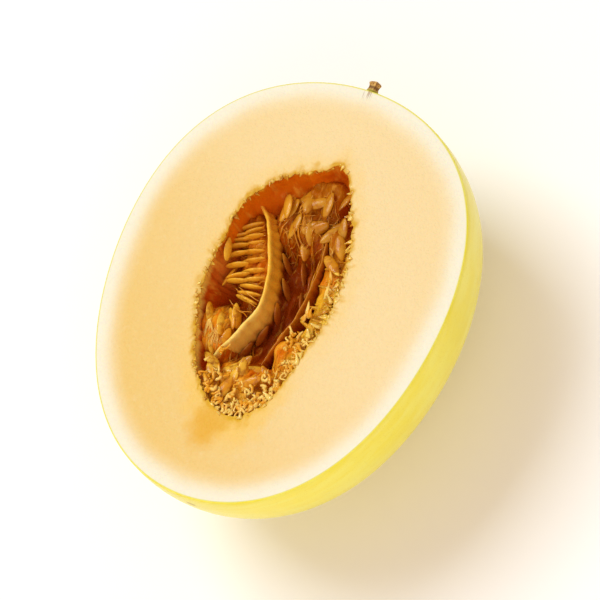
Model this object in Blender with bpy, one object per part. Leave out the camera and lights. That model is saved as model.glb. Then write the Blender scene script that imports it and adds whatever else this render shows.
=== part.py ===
"""Half of a smooth yellow melon, cut lengthwise, lying on its rind with the cut face up.

Units are metres and +Z is up. +X points along the fruit to its stem end, +Y across the cut face.
The origin is on the floor, under the middle of the half with its stem stub.
Inside the script, a place on the fruit is (x, y, depth): x and y are measured from the middle of the
cut face, and depth is how far below that face the place is.
"""

from math import atan2, cos, degrees, hypot, pi, radians, sin, sqrt

import bmesh
import bpy
from mathutils import Matrix, Vector

# The whole fruit: an ellipsoid, fuller towards the stem end and a little squarer at both ends.
HALF_LENGTH = 0.08595
HALF_WIDTH = 0.07245
STEM_END_SWELL = 0.074
END_FULLNESS = 0.093
CUT_ABOVE_AXIS = 0.0078  # how far the knife passed above the fruit's axis
FLAT_SPOT_DEPTH = 0.0008  # how much of the rind is pressed flat where the half lies
FRUIT_SEGMENTS = 64
FRUIT_RINGS = 32

# The gap that separate pieces keep to each other.
GAP = 0.0003

# The dry stub of the stalk, on the rind just under the cut face.
STUB_Y = -0.0039
STUB_DEPTH = 0.0028
STUB_LENGTH = 0.0042
STUB_FOOT_RADIUS = 0.0025
STUB_TIP_RADIUS = 0.0023
STUB_ROUNDING = 0.0005

# The seed cavity: its rim on the cut face, from the pointed stem end counter-clockwise.
CAVITY_DEPTH = 0.029
CAVITY_CENTRE = Vector((0.000, 0.002))
CAVITY_RIM = (
    (0.0538, -0.0064),
    (0.0500, 0.0020),
    (0.0455, 0.0125),
    (0.0320, 0.0262),
    (0.0141, 0.0290),
    (-0.0037, 0.0302),
    (-0.0234, 0.0245),
    (-0.0423, 0.0140),
    (-0.0523, -0.0009),
    (-0.0470, -0.0125),
    (-0.0219, -0.0218),
    (-0.0013, -0.0261),
    (0.0138, -0.0252),
    (0.0364, -0.0180),
)
CAVITY_SEGMENTS = 48
CAVITY_RINGS = 16

# The lobes that carry the seeds: each stands along a path of (x, y), its free edge LOBE_TOP deep.
LEFT_LOBE_PATH = (
    (0.0345, 0.0255),
    (0.0295, 0.0205),
    (0.0235, 0.0160),
    (0.0150, 0.0120),
    (0.0045, 0.0077),
    (-0.0060, 0.0070),
    (-0.0155, 0.0105),
    (-0.0245, 0.0148),
    (-0.0300, 0.0175),
)
LEFT_LOBE_TOP = 0.0075
RIGHT_LOBE_PATH = (
    (0.0300, -0.0065),
    (0.0208, -0.0085),
    (0.0114, -0.0093),
    (0.0011, -0.0095),
    (-0.0075, -0.0078),
    (-0.0162, -0.0048),
    (-0.0266, -0.0020),
)
RIGHT_LOBE_TOP = 0.0095
LOBE_HALF_THICKNESS = 0.0018
LOBE_FOOT = 0.034  # deeper than the cavity, which trims the lobes
LOBE_END_TAPER = 0.45
LOBE_END_DIP = 0.002  # how much deeper the free edge runs at both ends
LOBE_SIDES = 12
LOBE_SPANS = 16

# One seed: a flat teardrop.
SEED_LENGTH = 0.0104
SEED_WIDTH = 0.0046
SEED_THICKNESS = 0.0019
SEED_POINT = 0.38  # how much narrower the pointed end is
SEED_SIDES = 8
SEED_RINGS = 6

# Rows of seeds on edge beside a lobe: its path, start and stop along it, how many, which side, depth.
SEED_ROWS = (
    (LEFT_LOBE_PATH, 0.29, 0.61, 8, -1, 0.0116),
    (RIGHT_LOBE_PATH, 0.26, 0.76, 5, 1, 0.0100),
)
ROW_OFFSET = SEED_LENGTH / 2 + LOBE_HALF_THICKNESS + 0.0008
ROW_SWAY = 3
ROW_RISE = 6

# The other seeds: x, y and depth of the middle in millimetres, then heading, rise and roll in degrees.
LOOSE_SEEDS = (
    # under the left wall, along the fruit
    (-15.0, 24.2, 7.0, 22, 12, 70),
    (-16.5, 19.0, 8.5, 22, -8, 62),
    (-24.5, 20.0, 8.5, 28, 10, 75),
    (-11.0, 16.4, 12.5, 24, 4, 55),
    # on the floor between the lobes
    (14.5, 1.6, 21.5, 22, 4, 82),
    (12.0, -2.6, 22.5, 14, -4, 76),
    (3.0, -2.0, 23.0, 24, 3, 84),
    (1.0, -5.1, 22.0, 12, 5, 76),
    (-9.0, -3.4, 22.5, -6, -3, 80),
    (22.5, 0.5, 20.0, 35, 8, 68),
    # the clump by the right rim
    (24.0, -16.4, 5.2, 28, 6, 12),
    (16.6, -16.4, 4.6, 56, -8, 16),
    (31.0, -13.6, 7.0, 8, 14, -18),
    # the pointed stem end
    (32.0, 7.4, 12.8, 160, 8, 10),
    (27.5, 4.0, 15.5, 100, -6, 18),
    (39.2, 5.4, 9.0, -165, 12, -15),
    (40.0, -2.8, 9.0, -178, -6, 20),
    (35.2, 13.0, 9.0, -160, 4, 25),
    (34.0, -2.5, 14.0, 165, 10, 0),
    # the tangle at the blossom end
    (-37.5, 11.5, 4.2, 40, 8, 20),
    (-41.0, 4.0, 3.6, -12, -6, 10),
    (-36.5, -4.5, 3.8, -50, 10, 25),
    (-46.6, -2.0, 4.6, 75, 4, 60),
    (-39.6, -7.8, 7.4, 42, 8, 15),
    (-31.5, 15.2, 6.5, 60, -10, 40),
    (-32.5, -11.5, 5.0, 100, 6, 30),
    (-42.8, 4.4, 8.6, 98, 6, 60),
    (-32.0, 1.5, 6.5, 15, 14, 40),
    (-38.5, 0.5, 9.5, 85, -8, 10),
    (-34.0, 8.0, 9.5, -25, 6, 35),
    (-31.0, -6.5, 11.0, 40, 10, 15),
)


def radius_factor(u):
    """The fruit's radius at u, from -1 at the blossom end to 1 at the stem end, over that of an ellipsoid."""
    return 1 + STEM_END_SWELL * u + END_FULLNESS * (u * u - 0.3)


GREATEST_RADIUS = max(HALF_WIDTH * radius_factor(i / 100) * sqrt(1 - (i / 100) ** 2) for i in range(100))
HEIGHT = CUT_ABOVE_AXIS + GREATEST_RADIUS - FLAT_SPOT_DEPTH

# Where the stub stands on the stem end, which is nearly an ellipsoid there, and its way out of the rind.
END_RADIUS = HALF_WIDTH * radius_factor(1)
STUB_OFF_AXIS = Vector((0, STUB_Y, CUT_ABOVE_AXIS - STUB_DEPTH))
STUB_FOOT_X = HALF_LENGTH * sqrt(1 - (STUB_OFF_AXIS.length / END_RADIUS) ** 2)
STUB_TILT = atan2(HALF_LENGTH**2 * STUB_OFF_AXIS.length, END_RADIUS**2 * STUB_FOOT_X)
STUB_TIP_X = STUB_FOOT_X + STUB_LENGTH * cos(STUB_TILT) + (STUB_TIP_RADIUS - STUB_ROUNDING) * sin(STUB_TILT)

FACE_CENTRE = Vector(((HALF_LENGTH - STUB_TIP_X) / 2, 0, HEIGHT))


def material(name, colour, roughness):
    """A plain Principled material."""
    mat = bpy.data.materials.new(name)
    mat.use_nodes = True
    shader = mat.node_tree.nodes["Principled BSDF"]
    shader.inputs["Base Color"].default_value = (*colour, 1)
    shader.inputs["Roughness"].default_value = roughness
    shader.inputs["Metallic"].default_value = 0
    return mat


def add_object(name, mesh, mat=None):
    """An object that stands on the empty at the middle of the cut face."""
    obj = bpy.data.objects.new(name, mesh)
    bpy.context.scene.collection.objects.link(obj)
    obj.parent = face_centre
    if mat and not mesh.materials:
        mesh.materials.append(mat)
    return obj


def mesh_of(bm, name, smooth=True):
    """Turns a finished bmesh into a mesh."""
    bmesh.ops.recalc_face_normals(bm, faces=bm.faces)
    mesh = bpy.data.meshes.new(name)
    bm.to_mesh(mesh)
    bm.free()
    if smooth:
        mesh.shade_smooth()
        mesh.set_sharp_from_angle(angle=radians(40))
    return mesh


def cut_flat(bm, height, up):
    """Cuts a closed bmesh at a height and closes it again; up says which side goes."""
    normal = Vector((0, 0, 1 if up else -1))
    geometry = bm.verts[:] + bm.edges[:] + bm.faces[:]
    cut = bmesh.ops.bisect_plane(
        bm, geom=geometry, dist=1e-6, plane_co=(0, 0, height), plane_no=normal, clear_outer=True
    )
    rim = [item for item in cut["geom_cut"] if isinstance(item, bmesh.types.BMEdge)]
    bmesh.ops.holes_fill(bm, edges=rim, sides=0)


def guide(name, mesh):
    """An object that only shapes others."""
    obj = add_object(name, mesh)
    obj.hide_render = True
    obj.display_type = "WIRE"
    return obj


def add_boolean(obj, operand, operation):
    """Trims an object with a guide."""
    modifier = obj.modifiers.new(operation.title(), "BOOLEAN")
    modifier.operation = operation
    modifier.solver = "EXACT"
    modifier.object = operand


# ---------------------------------------------------------------- the cavity's shape


def rim_radius(angle):
    """Distance from the cavity's centre to its rim: a smooth closed curve through CAVITY_RIM."""
    spokes = [Vector(point) - CAVITY_CENTRE for point in CAVITY_RIM]
    corners = sorted((atan2(spoke.y, spoke.x) % (2 * pi), spoke.length) for spoke in spokes)
    count = len(corners)
    angle %= 2 * pi
    after = next((i for i, corner in enumerate(corners) if corner[0] > angle), count)

    def corner(index):
        turn, place = divmod(index, count)
        return corners[place][0] + 2 * pi * turn, corners[place][1]

    (a0, r0), (a1, r1), (a2, r2), (a3, r3) = (corner(after + step) for step in (-2, -1, 0, 1))
    t = (angle - a1) / (a2 - a1)
    slope1 = (r2 - r0) / (a2 - a0) * (a2 - a1)
    slope2 = (r3 - r1) / (a3 - a1) * (a2 - a1)
    return (
        r1 * (2 * t**3 - 3 * t**2 + 1)
        + slope1 * (t**3 - 2 * t**2 + t)
        + r2 * (3 * t**2 - 2 * t**3)
        + slope2 * (t**3 - t**2)
    )


def cavity_mesh(name, shrink):
    """The cavity as a closed solid, mirrored above the cut face, smaller all round by shrink."""
    bm = bmesh.new()
    bmesh.ops.create_uvsphere(bm, u_segments=CAVITY_SEGMENTS, v_segments=CAVITY_RINGS, radius=1)
    for vert in bm.verts:
        out = hypot(vert.co.x, vert.co.y)
        angle = atan2(vert.co.y, vert.co.x)
        reach = (rim_radius(angle) - shrink) * min(1, out) ** 0.75
        vert.co = (
            CAVITY_CENTRE.x + reach * cos(angle),
            CAVITY_CENTRE.y + reach * sin(angle),
            (CAVITY_DEPTH - shrink) * vert.co.z,
        )
    return mesh_of(bm, name)


# ---------------------------------------------------------------- rind and flesh, one piece


def fruit_mesh():
    """The part of the fruit under the cut, flat where it lies."""
    bm = bmesh.new()
    bmesh.ops.create_uvsphere(bm, u_segments=FRUIT_SEGMENTS, v_segments=FRUIT_RINGS, radius=1)
    bmesh.ops.rotate(bm, verts=bm.verts, matrix=Matrix.Rotation(pi / 2, 3, "Y"))
    for vert in bm.verts:
        u, v, w = vert.co
        radius = HALF_WIDTH * radius_factor(u)
        vert.co = (HALF_LENGTH * u, radius * v, radius * w - CUT_ABOVE_AXIS)
    cut_flat(bm, 0, True)
    cut_flat(bm, -HEIGHT, False)
    return mesh_of(bm, "melon_half")


# ---------------------------------------------------------------- stem stub


def stub_mesh():
    """A short round stub, a little narrower at its tip."""
    bm = bmesh.new()
    bmesh.ops.create_cone(
        bm,
        cap_ends=True,
        segments=16,
        radius1=STUB_FOOT_RADIUS,
        radius2=STUB_TIP_RADIUS,
        depth=STUB_LENGTH - GAP,
    )
    rim = [edge for edge in bm.edges if all(vert.co.z > 0 for vert in edge.verts)]
    bmesh.ops.bevel(
        bm,
        geom=rim,
        offset=STUB_ROUNDING,
        offset_type="OFFSET",
        segments=2,
        profile=0.5,
        affect="EDGES",
        material=-1,
    )
    bmesh.ops.rotate(bm, verts=bm.verts, matrix=Matrix.Rotation(pi / 2, 3, "Y"))
    return mesh_of(bm, "stem")


# ---------------------------------------------------------------- lobes


def on_path(path, t):
    """The place and direction at t, from 0 to 1, on a smooth curve through the path's points."""
    last = len(path) - 1
    step = min(int(t * last), last - 1)
    f = t * last - step
    p0, p1, p2, p3 = (Vector(path[min(max(step + k, 0), last)]) for k in (-1, 0, 1, 2))
    slope1, slope2 = (p2 - p0) / 2, (p3 - p1) / 2
    place = (
        p1 * (2 * f**3 - 3 * f**2 + 1)
        + slope1 * (f**3 - 2 * f**2 + f)
        + p2 * (3 * f**2 - 2 * f**3)
        + slope2 * (f**3 - f**2)
    )
    along = p1 * (6 * f**2 - 6 * f) + slope1 * (3 * f**2 - 4 * f + 1) + p2 * (6 * f - 6 * f**2)
    along += slope2 * (3 * f**2 - 2 * f)
    return place, along.normalized()


def lobe_mesh(name, path, top):
    """A standing sheet with a round free edge, bent along its path and tapered at both ends."""
    bm = bmesh.new()
    bmesh.ops.create_cone(bm, cap_ends=True, segments=LOBE_SIDES, radius1=1, radius2=1, depth=1)
    for i in range(1, LOBE_SPANS):
        geometry = bm.verts[:] + bm.edges[:] + bm.faces[:]
        bmesh.ops.bisect_plane(bm, geom=geometry, plane_co=(0, 0, i / LOBE_SPANS - 0.5), plane_no=(0, 0, 1))
    for vert in bm.verts:
        side, height, t = vert.co.x, vert.co.y, vert.co.z + 0.5
        place, along = on_path(path, t)
        end = abs(2 * t - 1)
        half = LOBE_HALF_THICKNESS * (1 - LOBE_END_TAPER * end**3)
        crest = top + LOBE_END_DIP * end**2
        place += Vector((-along.y, along.x)) * half * side
        vert.co = (place.x, place.y, -crest - (1 - height) / 2 * (LOBE_FOOT - crest))
    return mesh_of(bm, name)


# ---------------------------------------------------------------- seeds


def seed_mesh():
    """A flat teardrop, lying along X with its point at +X."""
    bm = bmesh.new()
    bmesh.ops.create_uvsphere(bm, u_segments=SEED_SIDES, v_segments=SEED_RINGS, radius=1)
    bmesh.ops.rotate(bm, verts=bm.verts, matrix=Matrix.Rotation(pi / 2, 3, "Y"))
    for vert in bm.verts:
        x, y, z = vert.co
        narrow = 1 - SEED_POINT * max(0, x) ** 1.5
        vert.co = (SEED_LENGTH / 2 * x, SEED_WIDTH / 2 * y * narrow, SEED_THICKNESS / 2 * z * narrow)
    return mesh_of(bm, "seed")


class Seeds:
    """Adds the seeds one by one, all with one mesh."""

    def __init__(self, mat):
        self.mesh = seed_mesh()
        self.mesh.materials.append(mat)
        self.count = 0

    def add(self, x, y, depth, heading, rise, roll):
        """One seed, its middle at (x, y, depth) in millimetres, its point towards heading and rising by rise.
        Roll 0 lies flat and roll 90 stands on edge; all angles are in degrees."""
        self.count += 1
        seed = add_object(f"seed_{self.count:02d}", self.mesh)
        seed.location = Vector((x, y, -depth)) / 1000
        seed.rotation_euler = (radians(roll), radians(-rise), radians(heading))

    def add_row(self, path, start, stop, count, side, depth):
        """Seeds on edge, one behind the other along a lobe, with their points to it."""
        for i in range(count):
            place, along = on_path(path, start + (stop - start) * i / (count - 1))
            across = Vector((-along.y, along.x)) * side
            middle = (place + across * ROW_OFFSET) * 1000
            heading = degrees(atan2(-across.y, -across.x)) + ROW_SWAY * (-1) ** i
            self.add(middle.x, middle.y, depth * 1000, heading, ROW_RISE, 90)


for old in list(bpy.data.objects):
    bpy.data.objects.remove(old, do_unlink=True)

face_centre = bpy.data.objects.new("cut_face_centre", None)
face_centre.location = FACE_CENTRE
bpy.context.scene.collection.objects.link(face_centre)

flesh_mat = material("rind_and_flesh", (0.96, 0.76, 0.42), 0.45)
stem_mat = material("dry_stem", (0.36, 0.22, 0.10), 0.85)
lobe_mat = material("placenta", (0.62, 0.33, 0.06), 0.35)
seed_mat = material("seed", (0.80, 0.55, 0.22), 0.35)

cavity = guide("cavity_cutter", cavity_mesh("cavity_cutter", 0))
cavity_inside = guide("cavity_inside", cavity_mesh("cavity_inside", 2 * GAP))

melon_half = add_object("melon_half", fruit_mesh(), flesh_mat)
add_boolean(melon_half, cavity, "DIFFERENCE")

stem = add_object("stem", stub_mesh(), stem_mat)
out = STUB_OFF_AXIS.normalized() * sin(STUB_TILT) + Vector((cos(STUB_TILT), 0, 0))
stem.rotation_euler = out.to_track_quat("X", "Z").to_euler()
stem.location = Vector((STUB_FOOT_X, STUB_Y, -STUB_DEPTH)) + out * (STUB_LENGTH + GAP) / 2

for name, path, top in (
    ("placenta_left", LEFT_LOBE_PATH, LEFT_LOBE_TOP),
    ("placenta_right", RIGHT_LOBE_PATH, RIGHT_LOBE_TOP),
):
    lobe = add_object(name, lobe_mesh(name, path, top), lobe_mat)
    add_boolean(lobe, cavity_inside, "INTERSECT")

seeds = Seeds(seed_mat)
for path, start, stop, count, side, depth in SEED_ROWS:
    seeds.add_row(path, start, stop, count, side, depth)
for place in LOOSE_SEEDS:
    seeds.add(*place)
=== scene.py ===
"""Half of a ripe yellow melon, cut lengthwise, lying on its rind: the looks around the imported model."""

import math
import random

import bmesh
import bpy
import numpy as np
from mathutils import Matrix, Vector, noise


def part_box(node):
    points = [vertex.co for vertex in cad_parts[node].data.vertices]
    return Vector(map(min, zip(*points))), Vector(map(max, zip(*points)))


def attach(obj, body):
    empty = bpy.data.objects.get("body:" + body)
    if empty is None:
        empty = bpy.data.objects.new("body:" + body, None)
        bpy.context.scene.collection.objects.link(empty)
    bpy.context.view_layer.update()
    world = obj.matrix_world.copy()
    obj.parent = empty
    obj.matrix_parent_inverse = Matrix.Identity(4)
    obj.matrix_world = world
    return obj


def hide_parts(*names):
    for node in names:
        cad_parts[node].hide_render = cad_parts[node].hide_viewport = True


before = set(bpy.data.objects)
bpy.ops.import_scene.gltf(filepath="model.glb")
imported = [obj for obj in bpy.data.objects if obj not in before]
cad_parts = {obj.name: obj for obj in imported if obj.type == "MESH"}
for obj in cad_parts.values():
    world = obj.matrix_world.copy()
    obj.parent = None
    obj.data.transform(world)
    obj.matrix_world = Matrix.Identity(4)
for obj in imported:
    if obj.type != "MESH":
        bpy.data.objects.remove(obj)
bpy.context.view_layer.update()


# ---------------------------------------------------------------- rind and flesh
# The half grew as one piece: a thin waxy rind, pale flesh under it, and the seed cavity in the middle.
# The knife left the face flat with a crisp skin edge, and tore the flesh into small teeth at the cavity.

MM = 0.001
low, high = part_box("melon_half")
FACE_Z = high.z
MIDDLE_X = (low.x + high.x) / 2
HALF_LENGTH = (high.x - low.x) / 2
STEM_END_SWELL = 0.074
END_FULLNESS = 0.093
HALF_WIDTH = 0.07245
CUT_ABOVE_AXIS = 7.8 * MM

CAVITY_DEPTH = 29 * MM
CAVITY_CENTRE = Vector((0, 2)) * MM
CAVITY_RIM = (
    (53.8, -6.4),
    (50.0, 2.0),
    (45.5, 12.5),
    (32.0, 26.2),
    (14.1, 29.0),
    (-3.7, 30.2),
    (-23.4, 24.5),
    (-42.3, 14.0),
    (-52.3, -0.9),
    (-47.0, -12.5),
    (-21.9, -21.8),
    (-1.3, -26.1),
    (13.8, -25.2),
    (36.4, -18.0),
)
TOOTH_REACH = 1.9 * MM
TORN_DROP = 1.1 * MM
EDGE_ROUNDING = 0.25 * MM
STUB_Y = -3.9 * MM
JUICE_PATCH = Vector((-56.6, 3.4)) * MM

SEGMENTS = 512
RIND_RINGS = 44
FACE_RINGS = 40
WALL_RINGS = 56


def on_fruit(x, y, depth):
    """A place measured from the middle of the cut face, x to the stem end, depth below the face."""
    return Vector((MIDDLE_X + x, y, FACE_Z - depth))


def radius_at(u):
    """The fruit's radius at u, from -1 at the blossom end to 1 at the stem end."""
    return HALF_WIDTH * (1 + STEM_END_SWELL * u + END_FULLNESS * (u * u - 0.3))


def between(start, slope1, stop, slope2, t):
    """Part t of a smooth curve from start to stop, which are numbers or vectors, with these slopes."""
    return (
        start * (2 * t**3 - 3 * t**2 + 1)
        + slope1 * (t**3 - 2 * t**2 + t)
        + stop * (3 * t**2 - 2 * t**3)
        + slope2 * (t**3 - t**2)
    )


def rim_radius(angle):
    """Distance from the cavity's centre to its rim: a smooth closed curve through CAVITY_RIM."""
    spokes = [Vector(point) * MM - CAVITY_CENTRE for point in CAVITY_RIM]
    corners = sorted((math.atan2(spoke.y, spoke.x) % math.tau, spoke.length) for spoke in spokes)
    count = len(corners)
    angle %= math.tau
    after = next((i for i, corner in enumerate(corners) if corner[0] > angle), count)

    def corner(index):
        turn, place = divmod(index, count)
        return corners[place][0] + math.tau * turn, corners[place][1]

    (a0, r0), (a1, r1), (a2, r2), (a3, r3) = (corner(after + step) for step in (-2, -1, 0, 1))
    t = (angle - a1) / (a2 - a1)
    slope1 = (r2 - r0) / (a2 - a0) * (a2 - a1)
    slope2 = (r3 - r1) / (a3 - a1) * (a2 - a1)
    return between(r1, slope1, r2, slope2, t)


def tooth(angle):
    """How far the torn flesh reaches into the cavity: coarse and fine ragged points, from 0 to about 1."""
    coarse = noise.noise(Vector((math.cos(angle) * 7, math.sin(angle) * 7, 3.1)))
    fine = noise.noise(Vector((math.cos(angle) * 21, math.sin(angle) * 21, 8.4)))
    return (0.55 - 0.9 * abs(coarse)) * 0.6 + (0.6 - 1.3 * abs(fine)) * 0.7


def rim_rise(angle):
    """The sine of the cut's rise over the fruit's axis, seen along the angle."""
    rise = CUT_ABOVE_AXIS / HALF_WIDTH
    for _ in range(5):
        rise = CUT_ABOVE_AXIS / radius_at(math.cos(angle) * math.sqrt(1 - rise * rise))
    return rise


def rind_point(angle, fraction):
    """On the rind: fraction runs from the lowest point to the cut."""
    polar = fraction * (math.pi / 2 + math.asin(rim_rise(angle)))
    u, v, w = (math.sin(polar) * math.cos(angle), math.sin(polar) * math.sin(angle), -math.cos(polar))
    radius = radius_at(u)
    around = math.atan2(w, v)
    crease = noise.noise(Vector((math.cos(around) * 5, math.sin(around) * 5, u * 0.8)))
    radius -= 0.25 * MM * max(0, crease) * (1 - fraction**8)
    place = on_fruit(HALF_LENGTH * u, radius * v, CUT_ABOVE_AXIS - radius * w)
    place.z = max(place.z, 0)
    return place


def face_point(angle, fraction):
    """On the cut face: fraction runs from the skin to the cavity. Also gives both distances in metres."""
    outer = rind_point(angle, 1)
    inner = wall_point(angle, 0)
    inner.z = FACE_Z
    span = (inner - outer).length
    eased = fraction - 0.88 * math.sin(math.tau * fraction) / math.tau
    from_skin = EDGE_ROUNDING + (span - EDGE_ROUNDING) * eased
    place = outer.lerp(inner, from_skin / span)
    from_cavity = span - from_skin
    wave = noise.noise(place * 45) * 0.12 * MM * min(1, from_skin / (8 * MM))
    torn = max(0, 1 - from_cavity / (2.6 * MM))
    ragged = 0.55 + 0.9 * noise.noise(place * 420)
    place.z += min(0, wave - 0.12 * MM * min(1, from_skin / (8 * MM))) - TORN_DROP * torn**2 * ragged
    return place, from_skin, from_cavity


def wall_point(angle, fraction):
    """On the cavity's wall: fraction runs from the rim to the lowest point of the cavity."""
    polar = fraction * math.pi / 2
    reach = rim_radius(angle) - TOOTH_REACH * tooth(angle) * max(0, 1 - fraction * 6)
    out = reach * max(0, math.cos(polar)) ** 0.75
    depth = CAVITY_DEPTH * math.sin(polar)
    place = on_fruit(
        CAVITY_CENTRE.x + out * math.cos(angle), CAVITY_CENTRE.y + out * math.sin(angle), depth
    )
    inward = Vector((-math.cos(angle), -math.sin(angle), math.sin(polar))).normalized()
    ribs = noise.noise(Vector((math.cos(angle) * 16, math.sin(angle) * 16, fraction * 1.5)))
    lumps = noise.noise(place * 130)
    fade = min(1, fraction * 7)
    return place + inward * (0.7 * MM * ribs + 1.0 * MM * lumps) * fade


def half_mesh():
    """A closed drum, bent into rind, face and cavity wall ring by ring."""
    rings = RIND_RINGS + FACE_RINGS + WALL_RINGS
    bm = bmesh.new()
    bmesh.ops.create_cone(
        bm, cap_ends=True, cap_tris=True, segments=SEGMENTS, radius1=1, radius2=1, depth=rings
    )
    upright = [edge for edge in bm.edges if abs(edge.verts[0].co.z - edge.verts[1].co.z) > rings / 2]
    bmesh.ops.subdivide_edges(bm, edges=upright, cuts=rings - 1, use_grid_fill=True)
    from_skin = bm.verts.layers.float.new("from_skin")
    from_cavity = bm.verts.layers.float.new("from_cavity")
    ring_of = {vert: round(vert.co.z + rings / 2) for vert in bm.verts}
    for face in bm.faces:
        middle = sum(ring_of[vert] for vert in face.verts) / len(face.verts)
        face.material_index = (middle > RIND_RINGS) + (middle > RIND_RINGS + FACE_RINGS)
        face.smooth = True
    for vert, ring in ring_of.items():
        angle = math.atan2(vert.co.y, vert.co.x)
        centre_vertex = math.hypot(vert.co.x, vert.co.y) < 0.5
        if ring < RIND_RINGS:
            nearly = 1 - EDGE_ROUNDING / HALF_WIDTH
            vert.co = rind_point(angle, 0 if centre_vertex else max(0.01, ring / (RIND_RINGS - 1)) * nearly)
        elif ring <= RIND_RINGS + FACE_RINGS:
            place, vert[from_skin], vert[from_cavity] = face_point(angle, (ring - RIND_RINGS) / FACE_RINGS)
            vert.co = place
        else:
            fraction = (ring - RIND_RINGS - FACE_RINGS) / WALL_RINGS
            vert.co = wall_point(angle, 1 if centre_vertex else min(0.995, fraction))
    mesh = bpy.data.meshes.new("melon_flesh")
    bmesh.ops.recalc_face_normals(bm, faces=bm.faces)
    bm.to_mesh(mesh)
    bm.free()
    return mesh


def linear(red, green, blue):
    """A colour as it shows on a screen, from 0 to 255, as the shader wants it."""
    return tuple((channel / 255) ** 2.2 for channel in (red, green, blue)) + (1,)


class Socket:
    """An output in a material's nodes. Arithmetic on it adds Math nodes."""

    def __init__(self, finish, output):
        self.finish = finish
        self.output = output

    def math(self, operation, *operands):
        return self.finish.node("Math", {"operation": operation}, dict(enumerate(operands)))

    def __add__(self, other):
        return self.math("ADD", self, other)

    def __sub__(self, other):
        return self.math("SUBTRACT", self, other)

    def __rsub__(self, other):
        return self.math("SUBTRACT", other, self)

    def __mul__(self, other):
        return self.math("MULTIPLY", self, other)

    def __truediv__(self, other):
        return self.math("DIVIDE", self, other)

    def __pow__(self, other):
        return self.math("POWER", self, other)

    def __neg__(self):
        return self.math("MULTIPLY", self, -1.0)

    __radd__ = __add__
    __rmul__ = __mul__

    def most(self, other):
        return self.math("MAXIMUM", self, other)

    def size(self):
        return self.math("ABSOLUTE", self)

    def step(self, start, stop):
        """0 at start and 1 at stop, smooth between them."""
        values = {"Value": self, "From Min": start, "From Max": stop}
        return self.finish.node("MapRange", {"interpolation_type": "SMOOTHSTEP"}, values)


class Finish:
    """A material written as expressions. What varies goes to the shader through set."""

    def __init__(self, name, **constants):
        self.material = bpy.data.materials.new(name)
        self.material.use_nodes = True
        self.tree = self.material.node_tree
        self.shader = self.tree.nodes["Principled BSDF"]
        for label, value in constants.items():
            self.shader.inputs[label.replace("_", " ").title().replace("Ior", "IOR")].default_value = value
        self.place = self.node("TexCoord", {}, {}, "Object")

    def node(self, kind, settings, values, output=0):
        """Adds one node: its settings first, then a value or a link for each socket named."""
        node = self.tree.nodes.new("ShaderNode" + kind)
        for name, setting in settings.items():
            setattr(node, name, setting)
        for name, value in values.items():
            if isinstance(value, Socket):
                self.tree.links.new(value.output, node.inputs[name])
            else:
                node.inputs[name].default_value = value
        return Socket(self, node.outputs[output])

    def set(self, **values):
        for label, value in values.items():
            self.tree.links.new(value.output, self.shader.inputs[label.replace("_", " ").title()])

    def attribute(self, name):
        return self.node("Attribute", {"attribute_name": name}, {}, "Fac")

    def axes(self):
        """The three Object coordinates, in metres."""
        split = self.tree.nodes.new("ShaderNodeSeparateXYZ")
        self.tree.links.new(self.place.output, split.inputs[0])
        return [Socket(self, output) for output in split.outputs]

    def vector(self, x, y, z):
        return self.node("CombineXYZ", {}, {"X": x, "Y": y, "Z": z})

    def stretched(self, x, y, z):
        """The Object coordinates, scaled along each axis."""
        return self.node("Mapping", {}, {"Vector": self.place, "Scale": (x, y, z)})

    def noise(self, scale, detail=2.0, vector=None, roughness=0.5):
        values = {
            "Vector": vector or self.place,
            "Scale": scale,
            "Detail": detail,
            "Roughness": roughness,
        }
        return self.node("TexNoise", {}, values, "Fac")

    def spots(self, scale):
        """Distance to the nearest of scattered points."""
        return self.node("TexVoronoi", {}, {"Vector": self.place, "Scale": scale}, "Distance")

    def blend(self, mask, under, over):
        """The colour under where mask is 0 and over where it is 1."""
        return self.node("Mix", {"data_type": "RGBA"}, {0: mask, 6: under, 7: over}, 2)

    def bump(self, height, distance, strength=1.0, below=None):
        values = {"Height": height, "Distance": distance, "Strength": strength}
        if below:
            values["Normal"] = below
        return self.node("Bump", {}, values)


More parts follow.
